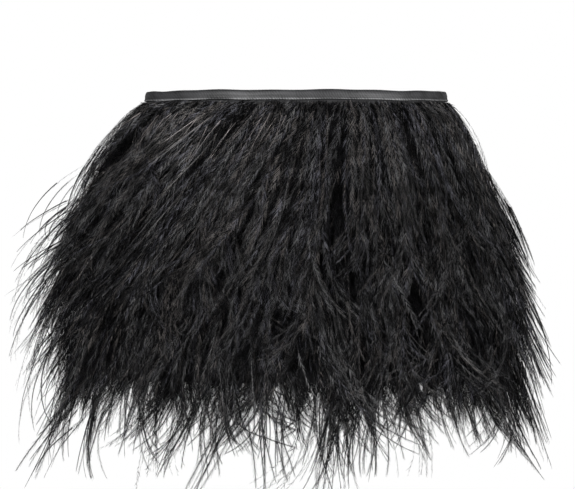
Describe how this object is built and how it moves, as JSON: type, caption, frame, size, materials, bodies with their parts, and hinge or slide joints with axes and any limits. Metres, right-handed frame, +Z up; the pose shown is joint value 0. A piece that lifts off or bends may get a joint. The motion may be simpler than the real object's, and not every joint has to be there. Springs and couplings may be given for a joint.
{
  "type": "feather skirt",
  "caption": "Short A-line skirt of tiered black ostrich-feather fringe on a lined foundation, with a narrow leather waistband and a concealed back zip.",
  "frame": {"origin": "middle of the waist opening, on the plane of the waistband's top edge", "axes": "+Z up, -Y the skirt's front, +Y its back with the zip, +X the viewer's right when looking at the front"},
  "size_m": [0.489, 0.3878, 0.35],
  "materials": {
    "leather": "black nappa leather with a soft satin sheen",
    "feather": "dyed black ostrich flues, brown-black and blue-black strands mixed",
    "fringe_tape": "black woven tape",
    "foundation_cloth": "black matte woven cloth",
    "lining_satin": "black satin",
    "zip_tape": "black woven zip tape",
    "zip_coil": "black nylon",
    "black_metal": "black lacquered metal"
  },
  "bodies": {
    "skirt": {"waistband_leather_front": "leather", "waistband_leather_back_left": "leather", "waistband_leather_back_right": "leather", "waist_stay_tape": "fringe_tape", "foundation_front": "foundation_cloth", "foundation_back_left": "foundation_cloth", "foundation_back_right": "foundation_cloth", "lining_front": "lining_satin", "lining_back_left": "lining_satin", "lining_back_right": "lining_satin", "tier_1_tape": "fringe_tape", "tier_2_tape": "fringe_tape", "tier_3_tape": "fringe_tape", "tier_4_tape": "fringe_tape", "tier_5_tape": "fringe_tape", "tier_6_tape": "fringe_tape", "tier_7_tape": "fringe_tape", "tier_1_feathers": "feather", "tier_2_feathers": "feather", "tier_3_feathers": "feather", "tier_4_feathers": "feather", "tier_5_feathers": "feather", "tier_6_feathers": "feather", "tier_7_feathers": "feather", "zip_tape_left": "zip_tape", "zip_tape_right": "zip_tape", "zip_coil_left": "zip_coil", "zip_coil_right": "zip_coil", "zip_top_stop_left": "black_metal", "zip_top_stop_right": "black_metal", "zip_bottom_stop": "black_metal", "waistband_hook": "black_metal", "waistband_eye": "black_metal"},
    "zip_slider": {"zip_slider": "black_metal"},
    "zip_pull": {"zip_pull": "black_metal"},
    "hanger_loop_left": {"hanger_loop_left": "lining_satin"},
    "hanger_loop_right": {"hanger_loop_right": "lining_satin"}
  },
  "joints": [
    {"name": "zip_slide", "type": "slide", "parent": "skirt", "child": "zip_slider", "axis": [0, 0.1186, -0.9929], "range_m": [0, 0.16]},
    {"name": "zip_pull_hinge", "type": "hinge", "parent": "zip_slider", "child": "zip_pull", "pos_m": [0, 0.10008, -0.01784], "axis": [1, 0, 0], "range_deg": [0, 150]},
    {"name": "hanger_loop_right_hinge", "type": "hinge", "parent": "skirt", "child": "hanger_loop_right", "pos_m": [0.13368, 0, -0.007], "axis": [0, 1, 0], "range_deg": [0, 175]},
    {"name": "hanger_loop_left_hinge", "type": "hinge", "parent": "skirt", "child": "hanger_loop_left", "pos_m": [-0.13368, 0, -0.007], "axis": [0, -1, 0], "range_deg": [0, 175]}
  ]
}
